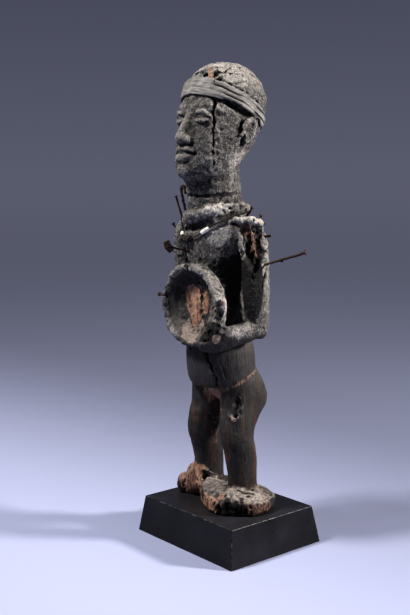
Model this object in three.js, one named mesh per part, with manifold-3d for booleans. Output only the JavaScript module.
// A standing power figure of carved wood with an open container on its belly, iron nails,
// a head band and a beaded neck cord, on a black display plinth.
// Millimetres, +Z up. The figure faces -Y, its left side is +X, and the origin is the middle
// of the plinth's underside.
import * as THREE from "three";
import { mergeVertices } from "three/addons/utils/BufferGeometryUtils.js";
import Module from "manifold-3d";

const wasm = await Module();
wasm.setup();

// Plinth: a low block with sides that lean in
const PLINTH_HEIGHT = 40;
const PLINTH_FOOT = { x: 160.4, y: 127.4 };
const PLINTH_TOP = { x: 148.6, y: 114.8 };

// Gap kept between pieces that touch
const GAP = 0.3;

// Levels of the figure, above the plinth's underside
const FOOT_Z = PLINTH_HEIGHT + GAP;
const SLAB_TOP = 55;
const KNEE_Z = 122;
const LEDGE_Z = 175;
const WAIST_Z = 210;
const ELBOW_Z = 243;
const SHOULDER_Z = 330;
const NECK_Z = 381;

// Spacings and sizes across the figure
const LEG_X = 28;
const ANKLE = { half: 15, front: 16.5 };
const ARM_X = 52;
const ARM = { wide: 13, thick: 16 };
const NECK = { y: -14, radius: 29 };

// Belly container, a short drum that opens to the front as a bowl
const BOWL = { x: 2.5, y: -53.5, z: 262.5, wide: 47.5, high: 44.5, lip: 6.5, depth: 15 };
const DRUM = { length: 34, wall: 16 };

// Head: its middle, its backward lean, and its half sizes along its own axes
const HEAD = { y: -5, z: 444, lean: THREE.MathUtils.degToRad(13) };
const SKULL = { half: 43, front: 44.5, back: 45, up: 70, down: 62 };

// Face: levels in thirds from the hair line to the chin, with the eyes at half the head's height
const HAIR_LINE = 36;
const CHIN_LINE = -54;
const FACE_THIRD = (HAIR_LINE - CHIN_LINE) / 3;
const BROW_LINE = HAIR_LINE - FACE_THIRD;
const NOSE_LINE = CHIN_LINE + FACE_THIRD;
const EYE_LINE = (SKULL.up - SKULL.down) / 2;
const MOUTH_LINE = NOSE_LINE - FACE_THIRD / 3;
const EYE_SPACING = SKULL.half * 0.4;

// Mesh and solid helpers

function solid(geometry) {
  const bare = geometry.clone();
  bare.deleteAttribute("normal");
  bare.deleteAttribute("uv");
  const merged = mergeVertices(bare, 1e-4);
  return new wasm.Manifold(
    new wasm.Mesh({
      numProp: 3,
      vertProperties: new Float32Array(merged.attributes.position.array),
      triVerts: new Uint32Array(merged.index.array),
    }),
  );
}

function geometryOf(body) {
  const raw = body.getMesh();
  const geometry = new THREE.BufferGeometry();
  geometry.setAttribute("position", new THREE.BufferAttribute(raw.vertProperties, 3));
  geometry.setIndex(new THREE.BufferAttribute(raw.triVerts, 1));
  geometry.computeVertexNormals();
  return geometry;
}

function joined(geometries) {
  return geometries.map(solid).reduce((whole, body) => whole.add(body));
}

// One smooth curve through the named numbers of some rows
function through(rows, keys) {
  const points = rows.map((row) => new THREE.Vector3(...keys.map((key) => row[key] ?? 0)));
  return new THREE.CatmullRomCurve3(points, false, "catmullrom", 0.5);
}

// Moves each point of a round column to its place, given how far along, its angle and its radius
function shaped(sides, steps, placeOf) {
  const geometry = new THREE.CylinderGeometry(1, 1, 1, sides, steps);
  const position = geometry.attributes.position;
  for (let i = 0; i < position.count; i++) {
    const along = THREE.MathUtils.clamp(position.getY(i) + 0.5, 0, 1);
    const point = placeOf(along, position.getX(i), -position.getZ(i));
    position.setXYZ(i, point.x, point.y, point.z);
  }
  return geometry;
}

// A closed body with level oval sections: each row gives a section's middle and its half sizes,
// `front` towards -Y and `back` towards +Y. `grow` thickens it all over.
function oval(rows, { sides = 24, steps = 16, grow = 0 } = {}) {
  const full = rows.map((row) => ({ ...row, back: row.back ?? row.front }));
  const middle = through(full, ["x", "y", "z"]);
  const size = through(full, ["half", "front", "back"]);
  return shaped(sides, steps, (along, across, deep) => {
    const half = size.getPoint(along);
    const reach = deep < 0 ? half.y : half.z;
    const point = middle.getPoint(along);
    point.x += across * (half.x + grow);
    point.y += deep * (reach + grow);
    point.z += grow * (2 * along - 1);
    return point;
  });
}

// A closed body along a bent line: `wide` is the half size along `side`, `thick` the other one
function limb(rows, side, { sides = 12, steps = 10 } = {}) {
  const full = rows.map((row) => ({ ...row, thick: row.thick ?? row.wide }));
  const middle = through(full, ["x", "y", "z"]);
  const size = through(full, ["wide", "thick"]);
  return shaped(sides, steps, (along, across, deep) => {
    const forward = middle.getTangent(along);
    const first = side.clone().addScaledVector(forward, -side.dot(forward)).normalize();
    const second = new THREE.Vector3().crossVectors(forward, first);
    const half = size.getPoint(along);
    const point = middle.getPoint(along);
    return point.addScaledVector(first, across * half.x).addScaledVector(second, deep * half.y);
  });
}

function ball(x, y, z, halfX, halfY, halfZ, sides = 9, rings = 5) {
  const geometry = new THREE.SphereGeometry(1, sides, rings);
  geometry.rotateX(Math.PI / 2);
  geometry.scale(halfX, halfY, halfZ);
  return geometry.translate(x, y, z);
}

// A flat outline raised between two heights
function raised(points, low, high) {
  const shape = new THREE.Shape(points.map(([x, y]) => new THREE.Vector2(x, y)));
  const geometry = new THREE.ExtrudeGeometry(shape, { depth: high - low, bevelEnabled: false });
  return geometry.translate(0, 0, low);
}

function mirrored(body) {
  return body.mirror([1, 0, 0]);
}

const X_AXIS = new THREE.Vector3(1, 0, 0);
const Y_AXIS = new THREE.Vector3(0, 1, 0);

// Legs: slightly bent, with full buttocks and calves; the right ankle stands a little further back
function leg({ ankleX, ankleY }) {
  return solid(
    oval(
      [
        { x: ankleX, y: ankleY, z: SLAB_TOP - 6, half: ANKLE.half, front: ANKLE.front + 0.5 },
        { x: ankleX, y: ankleY, z: 72, half: ANKLE.half - 0.5, front: ANKLE.front },
        { x: ankleX, y: ankleY - 1, z: 92, half: 16, front: 18.5, back: 17.5 },
        { x: LEG_X, y: -5, z: 108, half: 17, front: 20, back: 17 },
        { x: LEG_X - 1, y: -8, z: KNEE_Z, half: 17.5, front: 22, back: 17.5 },
        { x: LEG_X - 2, y: -6, z: 138, half: 18, front: 21.5, back: 25 },
        { x: LEG_X - 4, y: -1, z: 155, half: 19.5, front: 23, back: 36 },
        { x: LEG_X - 5, y: -1, z: 172, half: 20, front: 24, back: 33 },
        { x: LEG_X - 8, y: -2, z: 192, half: 19, front: 22, back: 24 },
      ],
      { sides: 12, steps: 11 },
    ),
  );
}

function legs() {
  const left = leg({ ankleX: LEG_X, ankleY: -2 });
  const right = leg({ ankleX: LEG_X + 2, ankleY: 0 });
  return left.add(mirrored(right));
}

// Trunk: a belly that ends in a carved ledge, a narrow chest behind the container, square shoulders
function trunk() {
  return oval(
    [
      { y: -6, z: LEDGE_Z - 1, half: 36.5, front: 31.5, back: 28 },
      { y: -6, z: LEDGE_Z + 7, half: 39.5, front: 34, back: 31 },
      { y: -6, z: 194, half: 41.5, front: 36, back: 32 },
      { y: -6, z: WAIST_Z, half: 41, front: 37, back: 30 },
      { y: -4, z: 235, half: 34, front: 35, back: 28 },
      { y: -2, z: 262, half: 29, front: 33, back: 27 },
      { y: -3, z: 290, half: 31, front: 34, back: 27 },
      { y: -5, z: 315, half: 40, front: 35, back: 26 },
      { y: -7, z: 336, half: 47, front: 33, back: 24 },
      { y: -9, z: 350, half: 38, front: 28, back: 23 },
      { y: -10, z: 358, half: 24, front: 20, back: 20 },
    ],
    { sides: 24, steps: 13 },
  );
}

// One arm: hangs from the shoulder, bends at the elbow and reaches forward to hold the container
function arm({ x, y, lift, reach, hand }) {
  const upper = limb(
    [
      { x: x - 24, y: y, z: SHOULDER_Z + 12 + lift, wide: 11, thick: 12 },
      { x: x - 9, y: y, z: SHOULDER_Z + 9 + lift, wide: 14, thick: 16 },
      { x: x - 1, y: y, z: SHOULDER_Z - 6 + lift, wide: 14, thick: 17 },
      { x: x, y: y + 1, z: 300, wide: ARM.wide, thick: ARM.thick },
      { x: x, y: y + 2, z: 268, wide: 12.5, thick: 15 },
      { x: x, y: y + 3, z: ELBOW_Z + 8, wide: 12, thick: 13.5 },
      { x: x, y: y + 3, z: ELBOW_Z - 8, wide: 11, thick: 12 },
      { x: x, y: y + 2, z: ELBOW_Z - 15, wide: 7, thick: 7 },
    ],
    X_AXIS.clone().setZ(1),
    { sides: 10, steps: 9 },
  );
  const fore = limb(
    [
      { x: x, y: y + 10, z: ELBOW_Z - 4, wide: 7, thick: 7 },
      { x: x, y: y - 2, z: ELBOW_Z - 5, wide: 11, thick: 11 },
      { x: x - 4, y: y - 20, z: ELBOW_Z - 9 + hand / 2, wide: 10, thick: 12 },
      { x: x - 13, y: y - 20 - reach * 0.6, z: ELBOW_Z - 14 + hand, wide: 9, thick: 13 },
      { x: x - 24, y: y - 20 - reach, z: ELBOW_Z - 17 + hand, wide: 8, thick: 12 },
      { x: x - 35, y: y - 22 - reach, z: ELBOW_Z - 17 + hand, wide: 5, thick: 8 },
    ],
    X_AXIS,
    { sides: 9, steps: 6 },
  );
  return solid(upper).add(solid(fore));
}

function arms() {
  const left = arm({ x: ARM_X, y: -4, lift: 0, reach: 26, hand: 0 });
  const right = arm({ x: ARM_X + 2, y: -9, lift: 4, reach: 14, hand: 8 });
  return left.add(mirrored(right));
}

// Neck, with the crusted roll of the collar around its foot
function neck() {
  const { y, radius } = NECK;
  const column = oval(
    [
      { y: -10, z: 340, half: radius, front: radius },
      { y: y, z: NECK_Z - 12, half: radius, front: radius },
      { y: y, z: NECK_Z, half: radius, front: radius },
      { y: y - 2, z: 402, half: radius - 1, front: radius - 1 },
      { y: y - 2, z: 425, half: radius - 2, front: radius - 3 },
    ],
    { sides: 20, steps: 3 },
  );
  const roll = ball(0, -10, 0, 38, 37, 16, 20, 5);
  roll.applyMatrix4(new THREE.Matrix4().makeShear(0, 0, 0, 0.12, 0, 0)).translate(0, 0, 358);
  return joined([column, roll]);
}

// Feet on one slab: the left foot is whole, the slab is broken off in front between the feet, and
// the right foot is split at the instep, which leaves its stump and an outer lobe
const SLAB_OUTLINE = [
  [12, -40],
  [28, -41],
  [46, -31],
  [60, -15],
  [60, 8],
  [49, 28],
  [26, 36],
  [-10, 34],
  [-44, 31],
  [-64, 16],
  [-69, -4],
  [-63, -17],
  [-55, -20],
  [-35, -11],
  [-9, -29],
];

function feet() {
  const slab = solid(raised(SLAB_OUTLINE, FOOT_Z, SLAB_TOP));
  const reach = solid(raised(SLAB_OUTLINE, FOOT_Z, WAIST_Z));
  const lumps = joined([
    ball(31, -8, SLAB_TOP - 2, 25, 30, 11, 14, 5),
    ball(6, -14, SLAB_TOP - 3, 26, 26, 13, 12, 5),
    ball(-38, -6, SLAB_TOP - 3, 14, 14, 22),
    ball(-58, -2, SLAB_TOP - 5, 12, 20, 12, 10, 5),
  ]);
  return slab.add(lumps.intersect(reach));
}

// Head in its own frame: +Z to the crown, -Y to the face
function skull(grow = 0) {
  const { half, front, back, up, down } = SKULL;
  return solid(
    oval(
      [
        { y: -21, z: -down, half: 9, front: 8 },
        { y: -18, z: -down + 5, half: 21, front: 18, back: 14 },
        { y: -13, z: -46, half: 32, front: 29, back: 27 },
        { y: -9, z: -26, half: 38.5, front: 34, back: 36 },
        { y: -4, z: -4, half: 42, front: 39.5, back: 42 },
        { y: -1, z: 20, half: half, front: front - 1.5, back: back },
        { y: 0, z: 40, half: half - 1, front: front - 2, back: back - 1 },
        { y: 0, z: 57, half: 32, front: 33, back: 33 },
        { y: 1, z: up - 3, half: 18, front: 19 },
        { y: 1, z: up, half: 6, front: 6 },
      ],
      { sides: 24, steps: 12, grow },
    ),
  );
}

function nose() {
  return oval(
    [
      { y: -38, z: NOSE_LINE - 3, half: 5, front: 6, back: 6 },
      { y: -40, z: NOSE_LINE, half: 10, front: 11, back: 6 },
      { y: -40, z: NOSE_LINE + 8, half: 7.5, front: 11, back: 6 },
      { y: -40, z: EYE_LINE, half: 4.5, front: 6.5, back: 6 },
      { y: -39, z: BROW_LINE + 4, half: 4, front: 5, back: 6 },
    ],
    { sides: 10, steps: 6 },
  );
}

function brow(side) {
  return limb(
    [
      { x: side * 3, y: -42, z: BROW_LINE, wide: 2, thick: 3 },
      { x: side * 12, y: -40, z: BROW_LINE + 3, wide: 3, thick: 4.5 },
      { x: side * 23, y: -35, z: BROW_LINE + 3, wide: 3, thick: 4.5 },
      { x: side * 33, y: -26, z: BROW_LINE - 3, wide: 2, thick: 3 },
    ],
    X_AXIS.clone().setZ(1),
    { sides: 6, steps: 5 },
  );
}

// The face: sunk eye hollows with full lids, a straight nose, closed lips and a round chin
function face(head) {
  const hollows = [-1, 1].map((side) => ball(side * EYE_SPACING, -46, EYE_LINE, 13, 9, 8.5, 10, 6));
  const lids = [-1, 1].map((side) => ball(side * EYE_SPACING, -34, EYE_LINE, 10.5, 7.5, 5.5, 10, 6));
  const mouth = [
    ball(0, -33, MOUTH_LINE - 2, 20, 12, 14),
    ball(0, -40, MOUTH_LINE + 1.5, 13.5, 7.5, 3.4),
    ball(0, -40, MOUTH_LINE - 5, 11.5, 7.5, 3.6),
  ];
  const chin = ball(0, -32, CHIN_LINE + 2, 14, 12, 9);
  return head.subtract(joined(hollows)).add(joined([...lids, ...mouth, chin, nose(), brow(-1), brow(1)]));
}

function ear() {
  const shell = solid(ball(41, 2, -3, 7, 8, 13));
  return shell.subtract(solid(ball(48, 1, -4, 4, 4.5, 8)));
}

function headForms() {
  const ears = ear().add(mirrored(ear()));
  return face(skull()).add(ears);
}

// Puts a body from the head's own frame to its place
function onHead(body) {
  const turn = new THREE.Matrix4().makeRotationX(-HEAD.lean);
  turn.setPosition(0, HEAD.y, HEAD.z);
  return body.transform(turn.elements);
}

// Container: a drum with a lip that draws in behind its wall, and the bowl that is cut into it.
// Profiles run from the back of the drum to its mouth.
function turned(points) {
  const { x, y, z, wide, high } = BOWL;
  const geometry = new THREE.LatheGeometry(points.map(([r, h]) => new THREE.Vector2(r, h)), 28);
  geometry.rotateX(Math.PI);
  geometry.scale(1, 1, high / wide);
  return geometry.translate(x, y + DRUM.length, z);
}

function container() {
  const { wide } = BOWL;
  const { length, wall } = DRUM;
  return turned([
    [0, 0],
    [wide - 17, 0],
    [wide - 12, length - wall - 4],
    [wide - 2, length - wall],
    [wide, length - 4],
    [wide - 1.5, length],
    [0, length],
  ]);
}

function bowl() {
  const { wide, lip, depth } = BOWL;
  const { length } = DRUM;
  const inner = wide - lip;
  return turned([
    [0, length - depth],
    [inner / 2, length - depth],
    [inner - 10, length - depth + 2],
    [inner - 4, length - 6],
    [inner, length],
    [inner, length + depth],
    [0, length + depth],
  ]);
}

// Damage and openings, cut from the joined figure

// A crack: a thin blade run along the surface, thinned out at both ends
function crack(points, side, { gape, deep }) {
  const last = points.length - 1;
  const rows = points.map(([x, y, z], i) => {
    const open = i === 0 || i === last ? 0.3 : 1;
    return { x, y, z, wide: (gape / 2) * open, thick: deep * open };
  });
  return limb(rows, side, { sides: 4, steps: 2 * last });
}

// The side of the figure that the worst decay faces: its front left
const FRONT_LEFT = new THREE.Vector3(0.774, -0.633, 0);
const ALONG_FRONT_LEFT = new THREE.Vector3(0.633, 0.774, 0);

// The left shoulder is eaten out from the front, with one ridge of sound wood left in the hollow
function shoulderHollow() {
  const row = (z, wide, thick, out) => ({
    x: ARM_X + FRONT_LEFT.x * out,
    y: -4 + FRONT_LEFT.y * out,
    z,
    wide,
    thick,
  });
  const rows = [
    row(SHOULDER_Z + 19, 6, 6, 9),
    row(SHOULDER_Z + 10, 10.5, 11, 8.5),
    row(SHOULDER_Z - 6, 11.5, 12, 8.5),
    row(SHOULDER_Z - 20, 9, 8, 10.5),
    row(SHOULDER_Z - 30, 4, 4, 13),
  ];
  const hollow = limb(rows, ALONG_FRONT_LEFT, { sides: 8, steps: 6 });
  const ridge = limb(
    [row(SHOULDER_Z + 20, 1.5, 5, 2), row(SHOULDER_Z, 2.2, 7, 1), row(SHOULDER_Z - 34, 1.5, 6, 4)],
    ALONG_FRONT_LEFT,
    { sides: 5, steps: 3 },
  );
  return solid(hollow).subtract(solid(ridge));
}

function damage() {
  const { x, y, z, wide, high } = BOWL;
  const head = onHead(
    joined([
      crack([[28, -41, 38], [28, -36, 20], [29, -34, 0], [29, -31, -32]], X_AXIS, { gape: 2, deep: 7 }),
      ball(10, -33, 58, 4, 5, 4),
      ball(21, -26, 57, 3, 5, 5),
      ball(30, -33, 25, 12, 5, 5),
    ]),
  );
  const belly = [
    crack([[16, -43, 216], [19, -41, 200], [24, -38, 186], [27, -35, 172]], ALONG_FRONT_LEFT, {
      gape: 3,
      deep: 8,
    }),
    ball(38, -19, 160, 5, 6, 7.5),
    ball(39, -18, 147, 3, 3.5, 3.5, 8, 4),
  ];
  const bowlCrack = crack(
    [
      [x - 5, y + 2, z + high],
      [x - 1, y + 8, z + 32],
      [x + 2, y + 15, z + 18],
      [x + 5, y + 15, z],
      [x + 9, y + 13, z - 18],
      [x + 20, y + 6, z - 28],
    ],
    X_AXIS,
    { gape: 1.8, deep: 5 },
  );
  const notch = ball(x + 22.5, y + 4, z - 30, 5, 8, 5);
  const side = ball(x + wide, y + 8, z - 8, 6, 5.5, 15);
  return head.add(joined([...belly, bowlCrack, notch, side])).add(shoulderHollow());
}

// Head band: a strip of hide round the head between two slanting edges, widest over the forehead,
// with one end of the strip hanging behind the left ear
const BAND = { thick: 2.4, lowFront: 477.5, lowSlope: 0.45, highFront: 492.5, highSlope: 0.62 };
const BAND_FRONT_Y = { low: -42, high: -30 };
const BAND_TAIL = { x: 40, y: 20, z: 446, wide: 8, drop: 22, slant: 0.2 };

function headBand(clearance = 0) {
  const outer = onHead(skull(GAP + BAND.thick + clearance));
  const inner = onHead(skull(GAP - clearance));
  const up = new THREE.Vector3(0, BAND.highSlope, 1);
  const low = new THREE.Vector3(0, BAND.lowSlope, 1);
  const top = BAND.highFront + BAND.highSlope * BAND_FRONT_Y.high;
  const bottom = BAND.lowFront + BAND.lowSlope * BAND_FRONT_Y.low;
  const whole = outer.subtract(inner);
  const cutTop = whole.trimByPlane(up.clone().negate().normalize().toArray(), -top / up.length() - clearance);
  const strip = cutTop.trimByPlane(low.clone().normalize().toArray(), bottom / low.length() - clearance);
  const { x, y, z, wide, drop, slant } = BAND_TAIL;
  const tail = new THREE.BoxGeometry(SKULL.half / 2, wide + 2 * clearance, drop + 2 * clearance);
  tail.rotateX(slant).translate(x, y, z);
  return strip.add(whole.intersect(solid(tail)));
}

// Iron nails: each is a shank turned from its point to a flat head, driven into the wood
function nail({ at, along, length, shank = 1.1, head = 2.4, cap = 1.2, sunk = 7 }, grow = 0) {
  const profile = [
    [0, -sunk - grow],
    [shank + grow, -sunk + 2],
    [shank + grow, length - cap],
    [head + grow, length - cap],
    [head + grow, length - cap * 0.4 + grow],
    [0, length + grow],
  ];
  const geometry = new THREE.LatheGeometry(profile.map(([r, h]) => new THREE.Vector2(r, h)), 6);
  const turn = new THREE.Quaternion().setFromUnitVectors(Y_AXIS, new THREE.Vector3(...along).normalize());
  geometry.applyQuaternion(turn);
  return geometry.translate(...at);
}

const NAILS = {
  nail_neck: { at: [-50, -17, 349], along: [-0.17, -0.21, 0.96], length: 27, head: 2 },
  nail_right_shoulder: { at: [-60, -20, 341], along: [-0.4, -0.3, 0.85], length: 5, head: 2.2 },
  nail_chest_ring: { at: [31, -27, 317], along: [0.6, -0.78, 0.1], length: 2, head: 2.3, sunk: 6 },
  nail_collar: { at: [35, 3, 356], along: [0.5, 0.2, 0.85], length: 9, head: 2.4 },
  nail_shoulder_front: { at: [49, 4, 344.5], along: [0.25, 0.1, 0.95], length: 12, head: 2.6 },
  nail_shoulder_back: { at: [50.5, 7, 341.5], along: [0.35, 0.15, 0.9], length: 7, head: 2.6 },
  nail_arm_small: { at: [59, 6, 334], along: [0.8, 0.6, 0.1], length: 5, head: 1.8 },
  nail_rim: { at: [-44, -51, 270], along: [-1, 0, 0.02], length: 6, head: 2.4 },
  nail_container_side: { at: [44, -45, 268], along: [1, 0, 0], length: 3.5, head: 2.6, sunk: 5 },
  nail_container_under: { at: [1, -47, 220], along: [-0.3, -0.5, -0.8], length: 6, head: 2.8 },
};

// The long nail in the left arm has a barb where its shank split
const LONG_NAIL = { at: [63, 0, 305.5], along: [0.85, 0.43, 0.29], length: 46, shank: 1.3, head: 2.9 };

function longNail(grow = 0) {
  const along = new THREE.Vector3(...LONG_NAIL.along).normalize();
  const root = new THREE.Vector3(...LONG_NAIL.at).addScaledVector(along, 15);
  const tip = root.clone().addScaledVector(along, 6).add(new THREE.Vector3(0, 0, -2.6));
  const barb = limb(
    [
      { x: root.x, y: root.y, z: root.z, wide: 1.1 },
      { x: tip.x, y: tip.y, z: tip.z, wide: 0.6 },
    ],
    ALONG_FRONT_LEFT,
    { sides: 5, steps: 1 },
  );
  return solid(nail(LONG_NAIL, grow)).add(solid(barb));
}

// The chest nail's broad head is folded over to one side
const CHEST_NAIL = { at: [-15, -37, 317], along: [-0.26, -0.93, 0.27], length: 22, head: 2, sunk: 8 };

function chestNail(grow = 0) {
  const end = new THREE.Vector3(...CHEST_NAIL.along).normalize().multiplyScalar(CHEST_NAIL.length);
  end.add(new THREE.Vector3(...CHEST_NAIL.at));
  const fold = limb(
    [
      { x: end.x + 1, y: end.y + 1, z: end.z - 5, wide: 3, thick: 1 },
      { x: end.x - 1, y: end.y - 2, z: end.z, wide: 4.2, thick: 1.5 },
      { x: end.x - 3, y: end.y - 3, z: end.z + 6, wide: 3.6, thick: 1.8 },
    ],
    ALONG_FRONT_LEFT,
    { sides: 6, steps: 2 },
  );
  return solid(nail(CHEST_NAIL, grow)).add(solid(fold));
}

// A strip of sheet iron, doubled over at the top, stuck in the collar beside the neck
function neckBlade(grow = 0) {
  const wide = 1.6 + grow;
  const thick = 0.7 + grow;
  return solid(
    limb(
      [
        { x: -29, y: -29, z: 358, wide, thick },
        { x: -30, y: -31, z: 366, wide, thick },
        { x: -32, y: -33, z: 384, wide, thick },
        { x: -31, y: -31.5, z: 386.5, wide, thick },
        { x: -29, y: -30, z: 384, wide, thick },
        { x: -28.5, y: -29.5, z: 377, wide, thick },
      ],
      ALONG_FRONT_LEFT,
      { sides: 5, steps: 8 },
    ),
  );
}

// Neck cord, tied between the neck nail and the collar nail, with its beads and a knotted bundle
const CORD = { radius: 0.8, sides: 5, steps: 25 };
const LONG_BEAD = { from: [10, -41, 337.5], to: [20.3, -37.4, 343.6], radius: 2.5 };
const ROUND_BEAD = { from: [-34.9, -29.4, 336.8], to: [-32.2, -31.9, 332.8], radius: 2.5 };
const CORD_PATH = [
  [-48.5, -20.5, 352],
  [-42, -24.5, 343.5],
  ROUND_BEAD.from,
  ROUND_BEAD.to,
  [-27, -35.5, 330.5],
  [-17, -39.5, 329.5],
  [-7, -41.5, 331],
  [2, -42, 334],
  LONG_BEAD.from,
  LONG_BEAD.to,
  [25, -35, 347],
  [31, -29, 350],
  [35, -22, 353.5],
  [38, -11, 356.5],
  [38.5, -2, 358.5],
  [36.5, 1.5, 359.5],
];

function cord(grow = 0) {
  const wide = CORD.radius + grow;
  return limb(CORD_PATH.map(([x, y, z]) => ({ x, y, z, wide })), new THREE.Vector3(0.2, -1, 0.4), CORD);
}

// A bead threaded on the cord: a turned body with a bore
function bead({ from, to, radius }, grow = 0) {
  const start = new THREE.Vector3(...from);
  const run = new THREE.Vector3(...to).sub(start);
  const length = run.length();
  const bore = CORD.radius + 2 * GAP - grow;
  const full = radius + grow;
  const profile = [
    [bore, -grow],
    [full * 0.8, -grow],
    [full, length * 0.25],
    [full, length * 0.75],
    [full * 0.8, length + grow],
    [bore, length + grow],
    [bore, -grow],
  ];
  const geometry = new THREE.LatheGeometry(profile.map(([r, h]) => new THREE.Vector2(r, h)), 8);
  geometry.applyQuaternion(new THREE.Quaternion().setFromUnitVectors(Y_AXIS, run.normalize()));
  return geometry.translate(...from);
}

// A small bundle of rag and fibre, knotted round the cord between the beads
function bundle(grow = 0) {
  const lumps = [
    [-20, -39.5, 330.5, 4.6],
    [-14, -41, 329.8, 4.4],
    [-8, -42, 331.2, 4.2],
  ];
  const lump = ([x, y, z, size]) => ball(x, y, z, size + grow, size + grow, size * 0.9 + grow, 7, 4);
  return joined(lumps.map(lump));
}

// Plinth: the square of a four-sided column, drawn out to its foot and top rectangles
function plinth() {
  return shaped(4, 1, (along, across, deep) => {
    const size = along > 0.5 ? PLINTH_TOP : PLINTH_FOOT;
    const x = Math.round(across - deep) / 2;
    const y = Math.round(across + deep) / 2;
    return new THREE.Vector3(x * size.x, y * size.y, along * PLINTH_HEIGHT);
  });
}

// The pieces, each with a pocket a gap wider than itself in whatever it is set into

const WOOD = { color: "#57524c", roughness: 0.88, metalness: 0 };
const LACQUER = { color: "#1b1b20", roughness: 0.32, metalness: 0 };
const HIDE = { color: "#8d8780", roughness: 0.75, metalness: 0 };
const IRON = { color: "#33251f", roughness: 0.7, metalness: 0.6 };
const FIBRE = { color: "#2c2825", roughness: 0.9, metalness: 0 };
const GLASS = { color: "#e6e3da", roughness: 0.35, metalness: 0 };

const part = new THREE.Group();

function show(name, body, look) {
  const mesh = new THREE.Mesh(geometryOf(body), new THREE.MeshStandardMaterial(look));
  mesh.name = name;
  part.add(mesh);
}

const beads = { bead_long: LONG_BEAD, bead_round: ROUND_BEAD };
const threaded = Object.values(beads).map((made) => solid(bead(made, GAP)));
const cordPocket = solid(cord(GAP));
const nailPockets = Object.values(NAILS).map((made) => solid(nail(made, GAP)));
const otherPockets = [longNail(GAP), chestNail(GAP), neckBlade(GAP), headBand(GAP), bundle(GAP), cordPocket];

const carved = joined([trunk(), container()]).add(legs()).add(arms()).add(neck()).add(feet());
const whole = carved.add(onHead(headForms())).subtract(solid(bowl())).subtract(damage());
const pockets = [...nailPockets, ...otherPockets, ...threaded];

// The crumbs that the cuts leave loose are dropped
const pieces = pockets.reduce((body, pocket) => body.subtract(pocket), whole).decompose();
const figure = pieces.reduce((most, piece) => (piece.volume() > most.volume() ? piece : most));

show("figure", figure, WOOD);
show("plinth", solid(plinth()), LACQUER);
show("head_band", headBand(), HIDE);
show("neck_cord", solid(cord()), FIBRE);
show("cord_bundle", bundle().subtract(cordPocket), FIBRE);
for (const [name, made] of Object.entries(beads)) show(name, solid(bead(made)), GLASS);
for (const [name, made] of Object.entries(NAILS)) show(name, solid(nail(made)), IRON);
show("nail_arm_long", longNail(), IRON);
show("nail_chest", chestNail(), IRON);
show("blade_neck", neckBlade(), IRON);

export default part;
